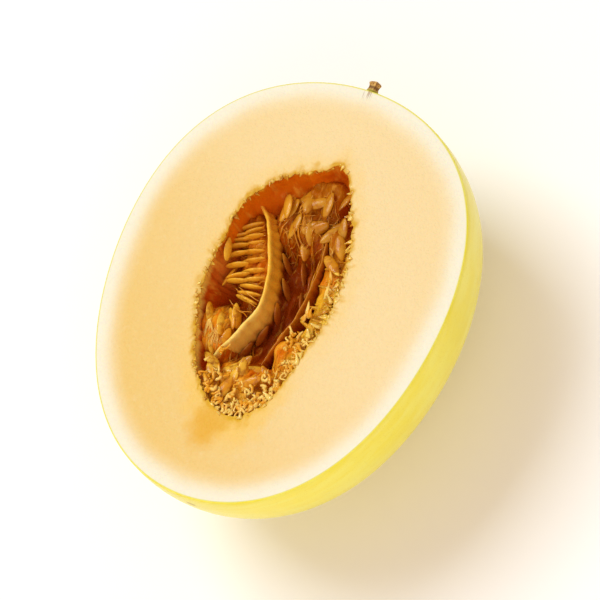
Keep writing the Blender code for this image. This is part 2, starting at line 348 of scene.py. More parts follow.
def rind_finish():
    """Waxy lemon yellow with paler streaks and faint pores, greener at the stub, a scar at the far end."""
    f = Finish(
        "melon_rind",
        ior=1.45,
        coat_roughness=0.15,
        subsurface_weight=0.12,
        subsurface_radius=(0.004, 0.003, 0.001),
        coat_weight=0.3,
    )
    x, y, z = f.axes()
    up = z - (FACE_Z - CUT_ABOVE_AXIS)
    around = ((y * y + up * up) ** 0.5).most(0.001)
    along = f.vector(x * 6, y / around, up / around)
    streaks = f.noise(7.0, 3.0, along, 0.6)
    fine = f.noise(26.0, 2.0, along, 0.6)
    patches = f.noise(22.0, 3.0)
    speckle = f.spots(900.0).step(0.12, 0.3)
    yellow = f.blend(streaks.step(0.35, 0.7), linear(249, 236, 48), linear(250, 243, 92))
    yellow = f.blend(fine.step(0.55, 0.8) * 0.3, yellow, linear(244, 234, 120))
    yellow = f.blend(patches.step(0.5, 0.75) * 0.35, yellow, linear(234, 222, 40))
    yellow = f.blend((1 - speckle) * 0.2, yellow, linear(214, 188, 36))
    to_stem = ((x - (MIDDLE_X + HALF_LENGTH)) * (x - (MIDDLE_X + HALF_LENGTH)) + y * y + up * up) ** 0.5
    yellow = f.blend((1 - to_stem.step(0.003, 0.024)) * 0.7, yellow, linear(230, 230, 78))
    to_blossom = ((x - (MIDDLE_X - HALF_LENGTH)) * (x - (MIDDLE_X - HALF_LENGTH)) + y * y + up * up) ** 0.5
    scar = (1 - (to_blossom + (fine - 0.5) * 0.003).step(0.0008, 0.0026)) * 0.6
    yellow = f.blend(scar, yellow, linear(186, 146, 66))
    f.set(base_color=yellow, roughness=0.32 + patches * 0.12 + (1 - speckle) * 0.1 + scar * 0.3)
    pores = f.bump(speckle, 0.00008, 0.5)
    f.set(normal=f.bump(streaks, 0.0004, 0.4, pores))
    return f.material


def flesh_finish():
    """Moist cut flesh: thin green-yellow skin, a white band, peach flesh with painted warm shade on one
    side, gold and torn at the cavity.
    """
    f = Finish(
        "melon_flesh",
        subsurface_weight=0.14,
        coat_roughness=0.25,
        ior=1.36,
        subsurface_radius=(0.005, 0.003, 0.0012),
        specular_tint=(1, 0.9, 0.65, 1),
        coat_weight=0.12,
    )
    skin = f.attribute("from_skin")
    cavity = f.attribute("from_cavity")
    x, y, z = f.axes()
    cloud = f.noise(30.0, 2.0)
    grain = f.noise(420.0, 3.0)
    cells = f.spots(1100.0)
    # Painted shade with a warm bounce: the flesh turns darker and more orange towards +y and the blossom
    # end.
    warm_shade_side = (y * 0.8 - x * 0.6 + (cloud - 0.5) * 0.02).step(-0.04, 0.075)
    uneven = skin + (cloud - 0.5) * 0.004 + (grain - 0.5) * 0.001
    flesh = f.blend(warm_shade_side, linear(232, 206, 148), linear(224, 186, 98))
    flesh = f.blend(grain.step(0.5, 0.8) * 0.25, flesh, linear(236, 213, 158))
    flesh = f.blend((1 - uneven.step(0.002, 0.013)) * 0.8, flesh, linear(234, 224, 190))
    flesh = f.blend((1 - uneven.step(0.001, 0.0085)) * 0.85, flesh, linear(232, 230, 208))
    flesh = f.blend(1 - skin.step(0.0003, 0.0009), flesh, linear(220, 214, 104))
    blots = f.noise(210.0, 2.0)
    near = cavity + (blots - 0.5) * 0.009 - (1 - x.step(-0.062, -0.046)) * 0.004
    flesh = f.blend((1 - near.step(0.0, 0.012)) * 0.55, flesh, linear(232, 194, 106))
    flesh = f.blend((1 - near.step(-0.0004, 0.0036)) * 0.9, flesh, linear(212, 160, 20))
    blossom = 1 - x.step(-0.05, -0.028)
    flesh = f.blend((1 - near.step(0.002, 0.013)) * blossom * 0.5, flesh, linear(230, 182, 44))
    patch_x, patch_y = x - (MIDDLE_X + JUICE_PATCH.x), y - JUICE_PATCH.y
    patch = (patch_x * patch_x * 0.55 + patch_y * patch_y) ** 0.5
    patch += (cloud - 0.5) * 0.004 + (blots - 0.5) * 0.006
    flesh = f.blend(1 - patch.step(0.0022, 0.0105), flesh, linear(220, 164, 0))
    below_stub = (MIDDLE_X + HALF_LENGTH) - x
    threads = f.noise(1500.0, 1.0, f.stretched(0.05, 1.0, 0.0), 0.4).step(0.5, 0.58)
    stain = (1 - (y - STUB_Y).size().step(0.0012, 0.003)) * (1 - below_stub.step(0.0015, 0.0055))
    flesh = f.blend(stain * threads * 0.6, flesh, linear(150, 100, 50))
    f.set(base_color=flesh, roughness=0.38 + grain * 0.18)
    dimples = f.bump(cells.step(0.1, 0.55), 0.00012, 0.5)
    f.set(normal=f.bump(grain, 0.0003, 0.5, dimples))
    return f.material


def wall_finish():
    """The cavity's wet wall: pale gold at the rim, orange towards the stem end, painted shade turning it
    red-brown far down.
    """
    f = Finish(
        "cavity_wall",
        subsurface_weight=0.2,
        coat_roughness=0.1,
        ior=1.38,
        subsurface_radius=(0.005, 0.002, 0.001),
        specular_tint=(1, 0.65, 0.3, 1),
        coat_weight=0.12,
    )
    x, y, z = f.axes()
    deep = FACE_Z - z
    cloud = f.noise(120.0, 3.0)
    fibres = f.noise(260.0, 3.0, f.stretched(1.0, 1.0, 0.16), 0.6)
    down = deep + (cloud - 0.5) * 0.006 + (fibres - 0.5) * 0.005
    to_stem = (x + y * 0.6).step(0.008, 0.03)
    wall = f.blend(to_stem, linear(244, 204, 92), linear(226, 118, 16))
    # Painted shade: the wall darkens to orange-red and then red-brown with depth, less so near the stem end.
    wall = f.blend(down.step(0.0035, 0.0085) * (1 - to_stem * 0.6), wall, linear(196, 78, 10))
    wall = f.blend(down.step(0.012, 0.025), wall, linear(150, 58, 12))
    wall = f.blend(fibres.step(0.52, 0.7) * 0.5, wall, linear(240, 176, 62))
    wall = f.blend(cloud.step(0.56, 0.72) * 0.5, wall, linear(190, 74, 8))
    wall = f.blend(1 - down.step(-0.0005, 0.0022), wall, linear(240, 186, 52))
    f.set(base_color=wall, roughness=0.2 + cloud * 0.25)
    f.set(normal=f.bump(fibres, 0.0009, 0.8, f.bump(cloud, 0.001, 0.5)))
    return f.material


flesh = bpy.data.objects.new("rind_and_flesh", half_mesh())
bpy.context.scene.collection.objects.link(flesh)
for finish in (rind_finish(), flesh_finish(), wall_finish()):
    flesh.data.materials.append(finish)
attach(flesh, "root")
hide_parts("melon_half")


# ---------------------------------------------------------------- stalk stub
# The dry stalk snapped off short, just under the cut. It is woody, ribbed and a little waisted, greenish
# where it leaves the rind and frayed at its tip.

STUB_RIBS = 5
stub_low, stub_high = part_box("stem")
STUB_MIDDLE = (stub_low + stub_high) / 2
STUB_RADIUS = (stub_high.y - stub_low.y) / 2


def bend_drum(bm, sides, rings, put):
    """Adds a closed drum and puts each vertex at put(angle, t, hub), t from end to end."""
    drum = bmesh.new()
    bmesh.ops.create_cone(
        drum, cap_ends=True, cap_tris=True, segments=sides, radius1=1, radius2=1, depth=rings
    )
    upright = [edge for edge in drum.edges if abs(edge.verts[0].co.z - edge.verts[1].co.z) > 0.5]
    bmesh.ops.subdivide_edges(drum, edges=upright, cuts=rings - 1, use_grid_fill=True)
    for vert in drum.verts:
        hub = math.hypot(vert.co.x, vert.co.y) < 0.5
        vert.co = put(math.atan2(vert.co.y, vert.co.x), vert.co.z / rings + 0.5, hub)
    shape = bpy.data.meshes.new("drum")
    drum.to_mesh(shape)
    drum.free()
    bm.from_mesh(shape)
    bpy.data.meshes.remove(shape)


def add_piece(name, bm, finish, slot, *nodes):
    """Turns a finished bmesh into a piece of the melon, which may stand for CAD nodes."""
    bmesh.ops.recalc_face_normals(bm, faces=bm.faces)
    for face in bm.faces:
        face.smooth = True
    piece = bpy.data.objects.new(name, bpy.data.meshes.new(name))
    bm.to_mesh(piece.data)
    bm.free()
    bpy.context.scene.collection.objects.link(piece)
    piece.data.materials.append(finish)
    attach(piece, "root")
    if nodes:
        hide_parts(*nodes)
    return piece


def stub_finish():
    """Dry wood: tan with dark cracks, a dark band round its middle, and a greenish foot."""
    f = Finish("stalk_stub")
    x, y, z = f.axes()
    fibres = f.noise(1500.0, 3.0, f.stretched(0.12, 1.0, 1.0), 0.6)
    cloud = f.noise(500.0, 2.0)
    wood = f.blend(fibres.step(0.35, 0.6), linear(150, 96, 40), linear(232, 188, 104))
    wood = f.blend(cloud.step(0.55, 0.7) * 0.6, wood, linear(104, 62, 26))
    middle = 1 - (x - STUB_MIDDLE.x + 0.0005).size().step(0.0002, 0.001)
    wood = f.blend(middle * 0.8, wood, linear(92, 52, 18))
    wood = f.blend(1 - x.step(stub_low.x, stub_low.x + 0.0012), wood, linear(176, 160, 64))
    f.set(base_color=wood, roughness=0.7 + cloud * 0.2, normal=f.bump(fibres, 0.0004, 0.8))
    return f.material


def stub_point(angle, t, hub):
    length = stub_high.x - stub_low.x
    radius = STUB_RADIUS * (0.98 - 0.2 * math.sin(math.pi * min(1, t * 1.2)))
    radius *= 1 - 0.05 * math.cos(STUB_RIBS * angle) - 0.06 * noise.noise(Vector((angle, t * 4, 2)))
    radius *= (0 if hub else 1) * (1 - 0.25 * max(0, t - 0.85) / 0.15)
    frayed = t**6 * 0.1 * length * noise.noise(Vector((math.cos(angle) * 2, math.sin(angle) * 2, 5)))
    place = Vector((stub_low.x + length * t * 0.96 + frayed, 0, 0))
    place.y = STUB_MIDDLE.y + radius * math.cos(angle) - 0.1 * MM * t
    place.z = STUB_MIDDLE.z - 0.12 * MM + radius * math.sin(angle) + 0.12 * MM * t
    return place


stub = bmesh.new()
bend_drum(stub, 48, 12, stub_point)
add_piece("stalk_stub", stub, stub_finish(), "dry_stem", "stem")


# ---------------------------------------------------------------- lobes of the placenta
# Two soft wet sheets stand along the cavity and carry the seeds. Their free edges are thick lips, and the
# left one runs down to the blossom end. Its lip is painted pale gold as light, the right one's darker amber
# as shade.

LEFT_LOBE_PATH = (
    (34.5, 25.5),
    (29.5, 20.5),
    (23.5, 16.0),
    (15.0, 12.0),
    (4.5, 7.7),
    (-6.0, 7.0),
    (-15.5, 10.5),
    (-24.5, 14.8),
    (-30.0, 17.5),
)
RIGHT_LOBE_PATH = (
    (30.0, -6.5),
    (20.8, -8.5),
    (11.4, -9.3),
    (1.1, -9.5),
    (-7.5, -7.8),
    (-16.2, -4.8),
    (-26.6, -2.0),
)
LEFT_LIP = 2.2 * MM
RIGHT_LIP = 1.5 * MM
LOBE_FOOT = 26 * MM
LOBE_PITCH = 3.7 * MM  # the seeds' spacing, which ribs the sheets


def on_path(path, t):
    """The place and direction at t, from 0 to 1, on a smooth curve through the points, in metres."""
    last = len(path) - 1
    step = min(int(t * last), last - 1)
    f = t * last - step
    p0, p1, p2, p3 = (Vector(path[min(max(step + k, 0), last)]) * MM for k in (-1, 0, 1, 2))
    slope1, slope2 = (p2 - p0) / 2, (p3 - p1) / 2
    place = between(p1, slope1, p2, slope2, f)
    along = p1 * (6 * f**2 - 6 * f) + slope1 * (3 * f**2 - 4 * f + 1) + p2 * (6 * f - 6 * f**2)
    along += slope2 * (3 * f**2 - 2 * f)
    return place, along.normalized()


def lobe(name, path, node, lip):
    """A standing sheet with a swollen free edge: a tall flat drum bent along its path."""
    crest_depth = FACE_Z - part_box(node)[1].z
    seed = len(name)
    bm = bmesh.new()

    def put(angle, t, hub):
        place, along = on_path(path, t)
        end = abs(2 * t - 1)
        height = 0 if hub else math.cos(angle)
        side = 0 if hub else math.sin(angle)
        sway = noise.noise(Vector((t * 9, 0.5, seed)))
        crest = crest_depth + 2.0 * MM * end**2 + 0.7 * MM * noise.noise(Vector((t * 14, 4.5, seed)))
        depth = crest + (1 - height) / 2 * (LOBE_FOOT - crest) * (1 - 0.35 * end**3)
        under = min(1, (depth - crest) / (6 * MM))
        half = lip * (1 - 0.5 * end**4) * (1 - 0.35 * math.sin(math.pi * min(1, under)))
        ribs = math.cos(math.tau * t * 75 * MM / LOBE_PITCH) * 0.28 * MM * under
        crinkle = noise.noise(Vector((place.x * 420, place.y * 420, depth * 160))) * 0.35 * MM
        shift = (half + ribs + crinkle) * side + sway * 0.5 * MM
        place = place + Vector((-along.y, along.x)) * shift
        return on_fruit(place.x, place.y, depth)

    bend_drum(bm, 40, 150, put)
    return add_piece(name, bm, LOBE_FINISH, "placenta", node)


def lobe_finish():
    """Wet soft tissue: painted pale gold as light on the left lobe, darker amber as shade on the right, dark
    red-brown as shade at the foot.
    """
    f = Finish(
        "placenta",
        subsurface_weight=0.25,
        coat_roughness=0.1,
        ior=1.38,
        subsurface_radius=(0.004, 0.002, 0.001),
        specular_tint=(1, 0.7, 0.35, 1),
        coat_weight=0.15,
    )
    x, y, z = f.axes()
    cloud = f.noise(190.0, 3.0)
    fibres = f.noise(700.0, 3.0, f.stretched(0.5, 0.5, 0.12), 0.6)
    deep = FACE_Z - z + (cloud - 0.5) * 0.003 + (fibres - 0.5) * 0.003
    to_blossom = 1 - x.step(-0.02, 0.004)
    left = y.step(-0.002, 0.003)
    # Painted light and shade: the lit left lobe is pale gold, palest along its lip; the right lobe is darker
    # amber.
    lip = f.blend(to_blossom, linear(246, 190, 62), linear(252, 218, 112))
    lip = f.blend(left, linear(190, 118, 30), lip)
    face = f.blend(to_blossom, linear(240, 172, 44), linear(250, 204, 88))
    tissue = f.blend(deep.step(0.0085, 0.0115) * left, lip, face)
    # Painted shade: dark red-brown at the lobes' foot, deep in the cavity.
    foot = (deep - left * (0.004 + to_blossom * 0.003)).step(0.0095, 0.0145)
    tissue = f.blend(foot, tissue, linear(150, 66, 16))
    tissue = f.blend(fibres.step(0.54, 0.7) * 0.4, tissue, linear(240, 186, 84))
    tissue = f.blend(cloud.step(0.6, 0.76) * 0.25, tissue, linear(200, 116, 20))
    f.set(base_color=tissue, roughness=0.2 + cloud * 0.25)
    f.set(normal=f.bump(fibres, 0.0005, 0.7, f.bump(cloud, 0.0008, 0.5)))
    return f.material


LOBE_FINISH = lobe_finish()
lobe("left_lobe", LEFT_LOBE_PATH, "placenta_left", LEFT_LIP)
lobe("right_lobe", RIGHT_LOBE_PATH, "placenta_right", RIGHT_LIP)


# ---------------------------------------------------------------- pulp bed
# Under the seeds the soft pulp fills the bottom of the cavity: high beside the lobes and at both ends,
# deep in the two hollows between them. It is wet, lumpy and drawn out into fibres.

PULP_STEP = 0.5 * MM
PULP_WALL = 1.0 * MM
HOLLOW_DEPTH = 24
PULP_BEDS = (  # middle x and y, reach along and across, heading in degrees, depth of its top
    (14, 20, 17, 8, 24, 12.2),
    (22, 23, 11, 6, 35, 10.0),
    (-20, 22, 12, 7, 22, 6.8),
    (-19, 19, 8, 4, 10, 9.0),
    (26, -14, 9, 6, 20, 7.0),
    (-9, -18, 8, 4, -12, 5.2),
    (33, 5, 12, 16, 0, 12.4),
    (44, 1, 9, 10, 0, 8.8),
    (-40, 1, 13, 15, 0, 5.6),
    (4, -18, 27, 7, 8, 8.4),
    (-24, -12, 13, 7, 20, 8.4),
)


def pulp_depth(x, y):
    """Depth of the pulp's surface at a place in millimetres."""
    height = 0.0
    for bed_x, bed_y, reach, across, heading, top in PULP_BEDS:
        turned = Vector((x - bed_x, y - bed_y, 0))
        turned.rotate(Matrix.Rotation(math.radians(-heading), 3, "Z"))
        away = (turned.x / reach) ** 4 + (turned.y / across) ** 4
        height = max(height, (HOLLOW_DEPTH - top) / (1 + away**1.3))
    fibres = noise.noise(Vector((x * 0.09 + y * 0.02, y * 0.55, 1.7)))
    lumps = noise.noise(Vector((x * 0.26, y * 0.26, 6.2)))
    fine = noise.noise(Vector((x * 0.5, y * 1.5, 9.2)))
    return HOLLOW_DEPTH - height + 1.3 * fibres + 1.6 * lumps + 0.6 * abs(fine)


def pulp_finish():
    """Wet amber pulp with pale fibres; gold at the blossom end, painted shade turning it red-brown where it
    lies deep.
    """
    f = Finish(
        "pulp",
        subsurface_weight=0.25,
        coat_roughness=0.15,
        ior=1.34,
        subsurface_radius=(0.004, 0.002, 0.001),
        specular_tint=(1, 0.6, 0.2, 1),
        specular_ior_level=0.3,
        coat_weight=0.06,
    )
    x, y, z = f.axes()
    cloud = f.noise(170.0, 3.0)
    fibres = f.noise(520.0, 4.0, f.stretched(0.22, 1.0, 0.6), 0.6)
    deep = FACE_Z - z + (cloud - 0.5) * 0.006
    pulp = f.blend(cloud.step(0.4, 0.62), linear(240, 158, 36), linear(224, 116, 14))
    pulp = f.blend((1 - x.step(-0.044, -0.034)) * 0.8, pulp, linear(240, 182, 60))
    pulp = f.blend(x.step(0.006, 0.02) * 0.85, pulp, linear(160, 84, 2))
    pulp = f.blend((-y).step(0.011, 0.015) * (1 - x.step(0.0, 0.012)) * 0.8, pulp, linear(236, 184, 44))
    # Painted shade: darker and redder where the pulp lies deep.
    pulp = f.blend(deep.step(0.0115, 0.0165), pulp, linear(172, 78, 6))
    pulp = f.blend(deep.step(0.0155, 0.022), pulp, linear(148, 58, 8))
    pulp = f.blend(fibres.step(0.54, 0.68) * 0.5, pulp, linear(236, 172, 64))
    pulp = f.blend((1 - fibres.step(0.34, 0.46)) * 0.5, pulp, linear(130, 42, 6))
    f.set(base_color=pulp, roughness=0.25 + cloud * 0.25)
    f.set(normal=f.bump(fibres, 0.0008, 0.9, f.bump(cloud, 0.001, 0.6)))
    return f.material


rim_low = [min(point[axis] for point in CAVITY_RIM) for axis in (0, 1)]
rim_high = [max(point[axis] for point in CAVITY_RIM) for axis in (0, 1)]
pulp = bmesh.new()
bmesh.ops.create_grid(
    pulp,
    x_segments=round((rim_high[0] - rim_low[0]) * MM / PULP_STEP),
    y_segments=round((rim_high[1] - rim_low[1]) * MM / PULP_STEP),
    size=0.5,
)
for vert in pulp.verts:
    x = (rim_low[0] + rim_high[0]) / 2 + vert.co.x * (rim_high[0] - rim_low[0])
    y = (rim_low[1] + rim_high[1]) / 2 + vert.co.y * (rim_high[1] - rim_low[1])
    vert.co = on_fruit(x * MM, y * MM, pulp_depth(x, y) * MM)
buried = []
for vert in pulp.verts:
    spoke = Vector((vert.co.x - MIDDLE_X, vert.co.y)) - CAVITY_CENTRE
    out = min(1, spoke.length / rim_radius(math.atan2(spoke.y, spoke.x))) ** (1 / 0.75)
    if FACE_Z - vert.co.z > CAVITY_DEPTH * math.sqrt(1 - out**2) + 2.5 * MM or out == 1:
        buried.append(vert)
bmesh.ops.delete(pulp, geom=buried, context="VERTS")
bmesh.ops.delete(pulp, geom=[vert for vert in pulp.verts if not vert.link_faces], context="VERTS")
bmesh.ops.solidify(pulp, geom=pulp.faces[:], thickness=PULP_WALL)
add_piece("pulp_bed", pulp, pulp_finish(), "placenta")


# ---------------------------------------------------------------- seeds
# Flat teardrops, smooth and wet with amber juice. Each one that the model holds keeps its place,
# and more of them lie behind and under those, hanging on the lobes and stuck to the wall.

SEED_LENGTH = 10.4 * MM
SEED_WIDTH = 4.6 * MM
SEED_THICKNESS = 1.9 * MM
SEED_POINT = 0.38
SEED_SIDES = 14
SEED_RINGS = 10


def add_seed(bm, matrix, size=1.0):
    """One seed, its point along the matrix's X axis and its flat faces along Z."""
    verts = bmesh.ops.create_uvsphere(bm, u_segments=SEED_SIDES, v_segments=SEED_RINGS, radius=1)["verts"]
    for vert in verts:
        along = vert.co.z
        across = math.hypot(vert.co.x, vert.co.y)
        angle = math.atan2(vert.co.y, vert.co.x)
        narrow = 1 - SEED_POINT * max(0, along) ** 1.5
        width = SEED_WIDTH / 2 * across**0.92 * narrow
        thick = SEED_THICKNESS / 2 * across**0.7 * narrow * (1 - 0.3 * math.cos(angle) ** 2)
        local = Vector((SEED_LENGTH / 2 * along, width * math.cos(angle), thick * math.sin(angle)))
        vert.co = matrix @ (local * size)


def seed_matrix(node):
    """Where a CAD seed lies: its long axis towards the point, its width, and its thickness."""
    points = np.array([vert.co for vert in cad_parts[node].data.vertices])
    centre = (points.min(0) + points.max(0)) / 2
    values, axes = np.linalg.eigh(np.cov((points - points.mean(0)).T))
    thick, wide, long = axes[:, 0], axes[:, 1], axes[:, 2]
    along = (points - points.mean(0)) @ long
    across = abs((points - points.mean(0)) @ wide)
    if across[along > 0].mean() > across[along < 0].mean():
        long = -long
    low_end, high_end = ((points - centre) @ long).min(), ((points - centre) @ long).max()
    centre = Vector(centre) + Vector(long) * (low_end + high_end) / 2
    long, wide = Vector(long), Vector(wide)
    turn = Matrix((long, wide, long.cross(wide))).transposed().to_4x4()
    return Matrix.Translation(centre) @ turn


def seed_finish():
    """Golden seed coat under a film of amber juice, darker at the stem end, with painted shade deep in the
    cavity.
    """
    f = Finish(
        "melon_seed",
        subsurface_weight=0.2,
        coat_roughness=0.08,
        ior=1.4,
        subsurface_radius=(0.003, 0.002, 0.001),
        specular_tint=(1, 0.8, 0.5, 1),
        coat_weight=0.26,
    )
    x, y, z = f.axes()
    cloud = f.noise(90.0, 1.0)
    film = f.noise(480.0, 3.0)
    deep = FACE_Z - z
    ladder = y.step(0.008, 0.011) * x.step(-0.008, -0.002)
    coat = f.blend(cloud.step(0.4, 0.62), linear(234, 180, 52), linear(214, 140, 14))
    coat = f.blend(film.step(0.46, 0.64) * 0.7, coat, linear(176, 98, 4))
    coat = f.blend(x.step(0.012, 0.026) * 0.65, coat, linear(178, 108, 6))
    # Painted shade: seeds deep in the cavity are darker.
    coat = f.blend(deep.step(0.013, 0.0185) * 0.85, coat, linear(160, 72, 20))
    coat = f.blend(ladder * 0.5, coat, linear(240, 178, 48))
    f.set(base_color=coat, roughness=0.3 + film * 0.2, normal=f.bump(film, 0.0004, 0.5))
    return f.material


SEED_FINISH = seed_finish()
for node in sorted(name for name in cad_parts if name.startswith("seed_")):
    bm = bmesh.new()
    add_seed(bm, seed_matrix(node))
    add_piece(node.replace("seed", "melon_seed"), bm, SEED_FINISH, "seed", node)


draw = random.Random(21)


def lay(x, y, depth, heading, rise, roll):
    """A seed's matrix from its place in millimetres and its turns in degrees; roll 90 stands on edge."""
    turns = [Matrix.Rotation(math.radians(heading), 4, "Z"), Matrix.Rotation(math.radians(-rise), 4, "Y")]
    roll_turn = Matrix.Rotation(math.radians(roll), 4, "X")
    return Matrix.Translation(on_fruit(x * MM, y * MM, depth * MM)) @ turns[0] @ turns[1] @ roll_turn


def seed_cluster(name, matrices):
    """Further seeds of one place in the cavity, as one piece."""
    bm = bmesh.new()
    for matrix in matrices:
        add_seed(bm, matrix, draw.uniform(0.9, 1.04))
    return add_piece(name, bm, SEED_FINISH, "seed")


def second_row(path, start, stop, count, side, depth, offset):
    """On edge beside a lobe, under the first row and between its seeds."""
    for i in range(count):
        place, along = on_path(path, start + (stop - start) * i / (count - 1))
        across = Vector((-along.y, along.x)) * side
        middle = (place + across * offset) / MM
        heading = math.degrees(math.atan2(-across.y, -across.x)) + draw.uniform(-9, 9)
        yield lay(middle.x, middle.y, depth + draw.uniform(-0.6, 0.6), heading, draw.uniform(0, 14), 88)


def on_lobe_face(path, count, side, depth):
    """Hanging flat on a lobe's face, their points up to its lip."""
    for i in range(count):
        place, along = on_path(path, 0.16 + 0.66 * i / (count - 1))
        across = Vector((-along.y, along.x)) * side
        middle = (place + across * 3.1 * MM) / MM
        tilt = math.radians(draw.uniform(20, 50))
        forward = Vector((-along.x, -along.y, 0)) * math.cos(tilt) + Vector((0, 0, math.sin(tilt)))
        flat = Vector((across.x, across.y, 0.15)).normalized()
        wide = flat.cross(forward).normalized()
        turn = Matrix((wide.cross(flat), wide, flat)).transposed().to_4x4()
        place = on_fruit(middle.x * MM, middle.y * MM, (depth + draw.uniform(-1.2, 1.2)) * MM)
        yield Matrix.Translation(place) @ turn


def scattered(count, x_range, y_range, heading, spread):
    """Half sunk in the pulp bed, lying any way over a patch of it."""
    for _ in range(count):
        x, y = draw.uniform(*x_range), draw.uniform(*y_range)
        depth = pulp_depth(x, y) - draw.uniform(-0.3, 0.7)
        turned = heading + draw.uniform(-spread, spread)
        yield lay(x, y, depth, turned, draw.uniform(-12, 12), draw.uniform(-40, 40))


seed_cluster("seeds_left_far_row", second_row(LEFT_LOBE_PATH, 0.2, 0.5, 7, -1, 9.8, 13.2 * MM))
seed_cluster("seeds_left_end_row", second_row(LEFT_LOBE_PATH, 0.15, 0.25, 3, -1, 10.4, 7.0 * MM))
seed_cluster("seeds_right_second_row", second_row(RIGHT_LOBE_PATH, 0.2, 0.85, 10, 1, 11.4, 8.6 * MM))
seed_cluster("seeds_on_left_lobe", on_lobe_face(LEFT_LOBE_PATH, 7, 1, 18.5))
seed_cluster("seeds_on_right_lobe", on_lobe_face(RIGHT_LOBE_PATH, 8, -1, 17.5))
seed_cluster("seeds_in_stem_end", scattered(15, (22, 45), (-9, 16), 165, 45))
seed_cluster("seeds_in_blossom_end", scattered(5, (-40, -28), (-9, 10), 40, 90))
seed_cluster("seeds_by_left_wall", scattered(3, (-26, -12), (14, 22), 24, 30))
seed_cluster("seeds_on_left_wall", [lay(11.0, 26.8, 4.2, 12, 8, 70), lay(3.0, 25.6, 12.0, 172, 16, 60)])


# ---------------------------------------------------------------- strands
# Thin wet threads tie the seeds to the lobes and the pulp, and lie over some of them.
# At the blossom end, where the knife tore them, they are a pale tangle of short curls.

LEFT_THREADS = 60
LOBE_THREADS = 16
STEM_END_THREADS = 46
RIGHT_THREADS = 44
TANGLE_CURLS = 150


def strand_finish():
    """Cream to amber threads, wet, with painted shade darkening them deeper in the cavity."""
    f = Finish(
        "strand",
        subsurface_weight=0.3,
        coat_roughness=0.08,
        ior=1.4,
        subsurface_radius=(0.003, 0.002, 0.001),
        specular_tint=(1, 0.72, 0.35, 1),
        coat_weight=0.2,
    )
    x, y, z = f.axes()
    cloud = f.noise(240.0, 2.0)
    thread = f.blend(cloud.step(0.42, 0.6), linear(246, 208, 108), linear(228, 156, 34))
    # Painted shade: threads deeper in the cavity are darker.
    thread = f.blend((FACE_Z - z).step(0.0045, 0.009) * 0.8, thread, linear(200, 122, 12))
    thread = f.blend((FACE_Z - z).step(0.01, 0.018) * 0.75, thread, linear(156, 80, 6))
    f.set(base_color=thread, roughness=0.2 + cloud * 0.2)
    return f.material


def add_strand(bm, path, radius):
    """A thread that thins towards both ends, along points (x, y, depth) in millimetres."""

    def put(angle, t, hub):
        place, along = on_path(path, t)
        side = along.cross(Vector((0.3, 0.2, 1))).normalized()
        thin = radius * (0.35 + 0.65 * math.sin(math.pi * (0.08 + 0.84 * t))) * (0 if hub else 1)
        place = place + (side * math.cos(angle) + along.cross(side) * math.sin(angle)) * thin
        return on_fruit(place.x, place.y, place.z)

    bend_drum(bm, 6, 12, put)


def wander(start, stop, points, sway, sag):
    """A route from start to stop that sways to the sides and sags between them."""
    start, stop = Vector(start), Vector(stop)
    route = []
    for i in range(points):
        t = i / (points - 1)
        loose = math.sin(math.pi * t)
        shift = Vector([draw.uniform(-sway, sway) for _ in range(3)]) * loose
        shift.z = shift.z * 0.5 + sag * loose
        route.append(start.lerp(stop, t) + shift)
    return route


def lie_on_pulp(route, lift):
    """The same route, laid on the pulp bed."""
    return [Vector((point.x, point.y, pulp_depth(point.x, point.y) - lift)) for point in route]


STRAND_FINISH = strand_finish()
threads = bmesh.new()
for _ in range(LEFT_THREADS):
    x, y = draw.uniform(-13, -4), draw.uniform(11, 24)
    route = wander((x, y, 0), (x - draw.uniform(9, 19), y - draw.uniform(-1, 7), 0), 7, 0.9, 0)
    add_strand(threads, lie_on_pulp(route, draw.uniform(-0.2, 0.3)), draw.uniform(0.2, 0.6) * MM)
for i in range(LOBE_THREADS):
    place, along = on_path(LEFT_LOBE_PATH, 0.2 + 0.5 * i / (LOBE_THREADS - 1))
    across = Vector((along.y, -along.x))
    tip = (place + across * 1.5 * MM) / MM
    end = (place + across * draw.uniform(8, 14) * MM) / MM
    route = wander((tip.x, tip.y, 9), (end.x + draw.uniform(-3, 3), end.y, draw.uniform(9, 13)), 5, 0.8, 1.0)
    add_strand(threads, route, draw.uniform(0.12, 0.24) * MM)
add_piece("strands_left", threads, STRAND_FINISH, "placenta")

threads = bmesh.new()
for _ in range(STEM_END_THREADS):
    x = draw.uniform(22, 46)
    y = draw.uniform(-14, 18) * (1 - (x - 24) / 44)
    route = wander((x, y, 0), (x - draw.uniform(5, 13), y + draw.uniform(-7, 7), 0), 6, 1.2, 0)
    add_strand(threads, lie_on_pulp(route, draw.uniform(-0.1, 1.3)), draw.uniform(0.14, 0.4) * MM)
add_piece("strands_stem_end", threads, STRAND_FINISH, "placenta")


def rim_place(angle, inset, depth):
    """A place in millimetres, inset from the cavity's rim towards its centre."""
    reach = rim_radius(angle) / MM - inset
    centre = CAVITY_CENTRE / MM
    return Vector((centre.x + reach * math.cos(angle), centre.y + reach * math.sin(angle), depth))


threads = bmesh.new()
for _ in range(RIGHT_THREADS):
    angle = math.radians(draw.uniform(222, 318))
    stop = rim_place(angle, draw.uniform(1.0, 3.0), draw.uniform(2.5, 8))
    start = rim_place(angle + draw.uniform(-0.12, 0.12), draw.uniform(6, 12), draw.uniform(9, 13))
    add_strand(threads, wander(start, stop, 5, 1.0, 1.0), draw.uniform(0.12, 0.36) * MM)
add_piece("strands_right", threads, STRAND_FINISH, "placenta")

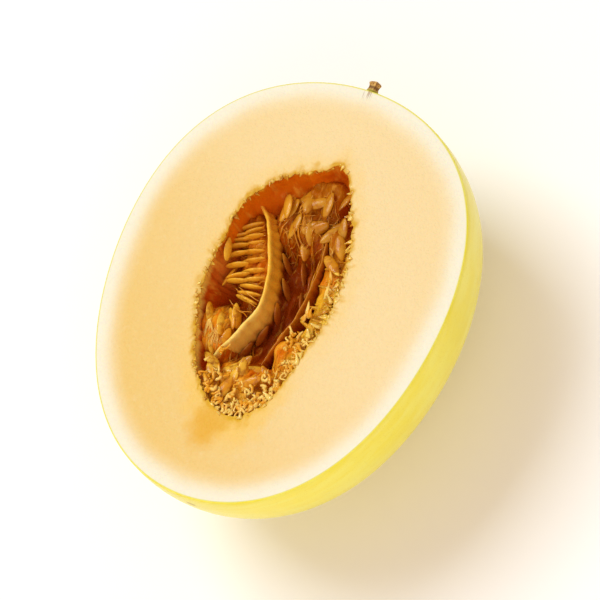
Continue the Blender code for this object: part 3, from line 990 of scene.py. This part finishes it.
threads = bmesh.new()
for _ in range(TANGLE_CURLS):
    angle = math.radians(draw.triangular(152, 244, 198))
    inset = draw.uniform(0.3, 3.5) if draw.random() < 0.55 else draw.uniform(3, 13)
    start = rim_place(angle, inset, draw.uniform(0.6, 2.2) + inset * 0.22)
    heading = angle + draw.uniform(-1.0, 1.0)
    reach = draw.uniform(1.8, 4.6)
    stop = start + Vector((math.cos(heading), math.sin(heading), 0)) * -reach
    stop.z += draw.uniform(-0.8, 1.6)
    add_strand(threads, wander(start, stop, 6, 1.3, -0.4), draw.uniform(0.32, 0.78) * MM)
add_piece("strands_blossom_end", threads, STRAND_FINISH, "placenta")


# ---------------------------------------------------------------- torn rim
# The knife tore the soft flesh at the cavity. Small golden points stand all round its rim, and they are
# longest on the right, where a few pale tips of torn tissue rise out of the hollow too.

RIM_POINTS = 150
LEDGE_POINTS = 46
PALE_TIPS = (  # x and y of the foot, and heading in degrees
    (-7.5, -14.5, -24),
    (-6.0, -16.0, 6),
    (-5.5, -17.5, 34),
    (3.0, -20.5, 20),
    (9.0, -19.0, -8),
)
TIP_DEPTH = 3.6 * MM
TIP_LENGTH = 6.0 * MM
TIP_RADIUS = 1.1 * MM


def torn_finish():
    """Translucent gold, painted pale cream as light where the points rise above the face, and brown as shade
    at their feet.
    """
    f = Finish(
        "torn_flesh",
        subsurface_weight=0.35,
        coat_roughness=0.1,
        ior=1.38,
        subsurface_radius=(0.004, 0.002, 0.001),
        specular_tint=(1, 0.85, 0.6, 1),
        coat_weight=0.4,
    )
    x, y, z = f.axes()
    deep = FACE_Z - z
    cloud = f.noise(300.0, 2.0)
    gold = f.blend(cloud.step(0.4, 0.58), linear(232, 186, 62), linear(196, 130, 10))
    # Painted light: pale cream where the torn points rise above the cut face.
    risen = 1 - (deep + (cloud - 0.5) * 0.001).step(-0.0001, 0.0006)
    gold = f.blend(risen * 0.7, gold, linear(242, 212, 112))
    # Painted shade: brown at the points' feet below the face.
    gold = f.blend(deep.step(0.0018, 0.005) * 0.85, gold, linear(176, 84, 10))
    f.set(base_color=gold, roughness=0.25 + cloud * 0.2)
    return f.material


def add_point(bm, foot, out, length, radius):
    """A torn point from its foot outwards, flat and curled."""
    curl = Vector([draw.uniform(-0.4, 0.4) for _ in range(3)])
    side = out.cross(Vector((0, 0, 1))).normalized()
    up = side.cross(out)
    seed = draw.uniform(0, 50)

    def put(angle, t, hub):
        ragged = 1 + 0.8 * noise.noise(Vector((math.cos(angle), math.sin(angle) + t * 3, seed)))
        thin = radius * (1 - t) ** 0.7 * ragged * (0 if hub else 1)
        route = foot + (out + curl * t) * length * t
        place = route + side * math.cos(angle) * thin + up * math.sin(angle) * thin * 0.5
        place.z = min(place.z, FACE_Z + 0.6 * MM)
        return place

    bend_drum(bm, 9, 6, put)


torn = bmesh.new()
for i in range(RIM_POINTS):
    angle = math.tau * (i + draw.uniform(-0.6, 0.6)) / RIM_POINTS
    busy = max(0, math.cos(angle - math.radians(262))) ** 0.7
    foot = rim_place(angle, draw.uniform(-0.9, 0.3), draw.uniform(0.2, 1.6)) * MM
    foot = on_fruit(foot.x, foot.y, foot.z)
    turned = angle + math.pi + draw.uniform(-0.8, 0.8)
    out = Vector((math.cos(turned), math.sin(turned), draw.uniform(-0.7, 0.15))).normalized()
    length = draw.uniform(1.0, 2.0 + 2.6 * busy) * MM
    add_point(torn, foot, out, length, draw.uniform(0.7, 1.3 + 0.5 * busy) * MM)
for _ in range(LEDGE_POINTS):
    angle = math.radians(draw.uniform(236, 300))
    foot = rim_place(angle, draw.uniform(0.5, 3.5), draw.uniform(0.8, 3.2)) * MM
    turned = angle + math.pi + draw.uniform(-1.4, 1.4)
    out = Vector((math.cos(turned), math.sin(turned), draw.uniform(-0.3, 0.6))).normalized()
    length = draw.uniform(1.6, 4.4) * MM
    add_point(torn, on_fruit(foot.x, foot.y, foot.z), out, length, draw.uniform(0.6, 1.3) * MM)
add_piece("torn_rim", torn, torn_finish(), "rind_and_flesh")

tips = bmesh.new()
for x, y, heading in PALE_TIPS:
    turned = math.radians(heading)
    out = Vector((math.cos(turned), math.sin(turned), 0.45)).normalized()
    add_point(tips, on_fruit(x * MM, y * MM, TIP_DEPTH), out, TIP_LENGTH, TIP_RADIUS)
add_piece("pale_tips", tips, STRAND_FINISH, "placenta")


# ---------------------------------------------------------------- light, floor and camera
# A white table under one large cool light and a warm fill, so that the shadow is warm and soft.
# The camera looks down on the cut face, as one would to pick it up.

TABLE_REACH = 6
TABLE_WHITE = (0.98, 0.98, 0.98, 1)

table = bmesh.new()
bmesh.ops.create_grid(table, x_segments=1, y_segments=1, size=TABLE_REACH)
floor = bpy.data.objects.new("table_top", bpy.data.meshes.new("table_top"))
table.to_mesh(floor.data)
table.free()
bpy.context.scene.collection.objects.link(floor)
white = Finish("table_top", roughness=0.6, base_color=TABLE_WHITE)
floor.data.materials.append(white.material)

FACE_MIDDLE = on_fruit(0, 0, 0)
VIEW_FROM = Vector((-0.27867, -0.56072, 1.08034))
VIEW_AIM = Vector((0.002, -0.006, -0.012))
VIEW_UP = Vector((0.8969, 0.2631, 0.3555))
LENS = 200
SENSOR = 36

camera = bpy.data.objects.new("camera", bpy.data.cameras.new("camera"))
bpy.context.scene.collection.objects.link(camera)
camera.data.lens = LENS
camera.data.sensor_width = SENSOR
back = (VIEW_FROM - VIEW_AIM).normalized()
right = VIEW_UP.cross(back).normalized()
turn = Matrix((right, back.cross(right), back)).transposed().to_4x4()
camera.matrix_world = Matrix.Translation(FACE_MIDDLE + VIEW_FROM) @ turn
bpy.context.scene.camera = camera


def add_light(name, place, size, power, colour=(1, 1, 1)):
    """A square soft light that faces the fruit."""
    light = bpy.data.objects.new(name, bpy.data.lights.new(name, "AREA"))
    bpy.context.scene.collection.objects.link(light)
    light.data.size = size
    light.data.energy = power
    light.data.color = colour
    light.location = place
    light.rotation_euler = (Vector(place) - FACE_MIDDLE).to_track_quat("Z", "Y").to_euler()


add_light("key", (0.25, 0.81, 1.75), 1.0, 22.6, (0.86, 0.965, 1))
add_light("fill", (-0.8, -0.65, 0.85), 1.0, 5, (1, 0.85, 0.76))

world = bpy.data.worlds.new("studio")
world.use_nodes = True
background = world.node_tree.nodes["Background"]
background.inputs["Color"].default_value = (1, 0.81, 0.74, 1)
background.inputs["Strength"].default_value = 0.56
bpy.context.scene.world = world
bpy.context.scene.view_settings.view_transform = "Standard"
